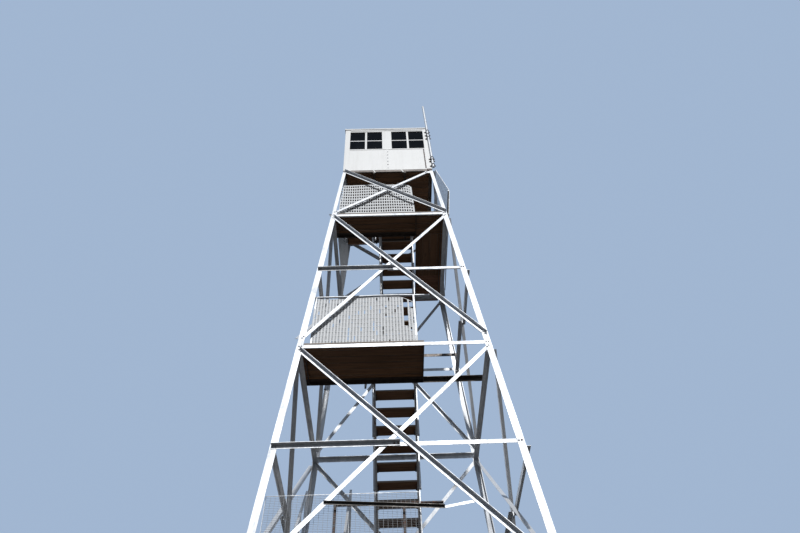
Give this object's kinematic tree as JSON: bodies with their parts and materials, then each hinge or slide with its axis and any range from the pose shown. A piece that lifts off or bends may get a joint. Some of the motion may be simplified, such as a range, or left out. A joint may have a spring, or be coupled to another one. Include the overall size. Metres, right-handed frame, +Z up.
{
  "type": "fire lookout tower",
  "caption": "Steel lattice fire lookout tower with four leaning legs, zigzag stairs, mesh guarded landings and a small square glazed cab with a hatch in its floor.",
  "frame": {"origin": "on the ground, in the middle of the four piers", "axes": "+Z up, -Y towards the front face, where the guards and the mast are, +X to the right seen from the front"},
  "size_m": [4.855, 4.855, 18.1766],
  "materials": {
    "concrete": "rough cast concrete",
    "galvanised": "dull weathered zinc",
    "mesh_wire": "welded zinc-coated wire",
    "white_sheet": "white painted sheet steel",
    "dark_steel": "dark fittings",
    "wood": "dark stained planks",
    "glass": "dark panes"
  },
  "bodies": {
    "root": {"back_braces": "galvanised", "back_struts": "galvanised", "back_wall": "white_sheet", "base_plates": "galvanised", "cab_beams": "galvanised", "cab_floor": "wood", "cab_joists": "wood", "cab_roof": "white_sheet", "concrete_piers": "concrete", "flight_1_treads": "wood", "flight_2_treads": "wood", "flight_3_treads": "wood", "flight_4_treads": "wood", "flight_5_treads": "wood", "flight_6_treads": "wood", "flight_7_treads": "wood", "front_braces": "galvanised", "front_struts": "galvanised", "front_wall": "white_sheet", "landing_1_deck": "wood", "landing_2_deck": "wood", "landing_2_front_guard": "mesh_wire", "landing_2_low_rail": "galvanised", "landing_3_deck": "wood", "landing_4_deck": "wood", "landing_4_front_guard": "mesh_wire", "landing_5_deck": "wood", "landing_6_deck": "wood", "landing_6_front_guard": "mesh_wire", "landing_6_left_guard": "mesh_wire", "landing_6_right_screen": "mesh_wire", "landing_beams": "galvanised", "left_braces": "galvanised", "left_struts": "galvanised", "left_wall": "white_sheet", "leg_back_left": "galvanised", "leg_back_right": "galvanised", "leg_front_left": "galvanised", "leg_front_right": "galvanised", "mast": "galvanised", "mast_clamps": "dark_steel", "right_braces": "galvanised", "right_struts": "galvanised", "right_wall": "white_sheet", "stair_handrails": "galvanised", "stair_stringers": "galvanised", "walkway_deck": "wood", "window_glass": "glass"}
  },
  "joints": []
}
